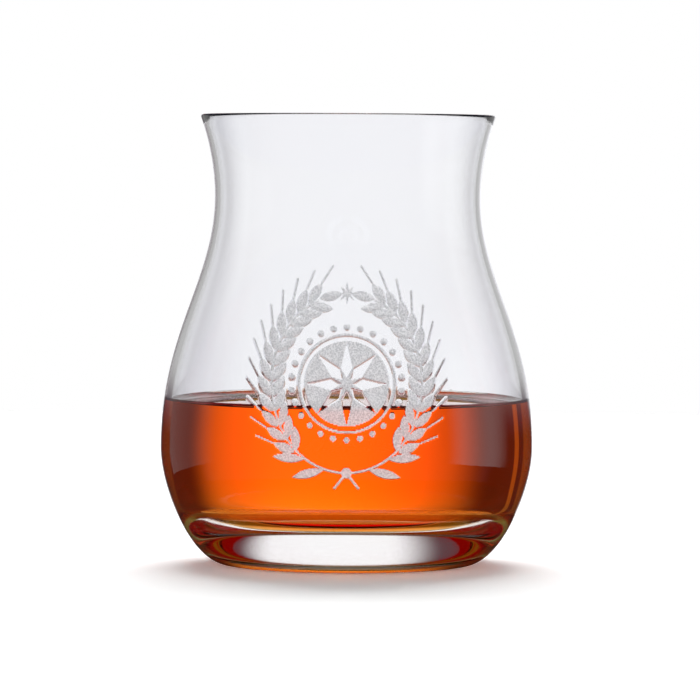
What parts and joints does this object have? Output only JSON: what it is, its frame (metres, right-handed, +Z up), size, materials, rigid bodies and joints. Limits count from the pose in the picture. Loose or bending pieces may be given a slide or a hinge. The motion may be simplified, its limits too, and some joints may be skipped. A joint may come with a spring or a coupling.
{
  "type": "whisky glass",
  "caption": "Tulip-shaped clear crystal whisky glass with a flared rim, narrow neck, round belly and heavy solid base, holding a pour of amber whisky.",
  "frame": {"origin": "middle of the foot, on the surface that the glass stands on", "axes": "+Z up along the axis of revolution, towards the rim; the engraved front of the bowl faces -Y"},
  "size_m": [0.0842, 0.0842, 0.1016],
  "materials": {
    "crystal": "polished",
    "whisky": "gloss"
  },
  "bodies": {
    "glass": {"glass_body": "crystal"},
    "whisky": {"whisky_pour": "whisky"}
  },
  "joints": [
    {"name": "whisky_swirl", "type": "hinge", "parent": "glass", "child": "whisky", "pos_m": [0, 0, 0.0114], "axis": [0, 0, 1], "continuous": true}
  ]
}
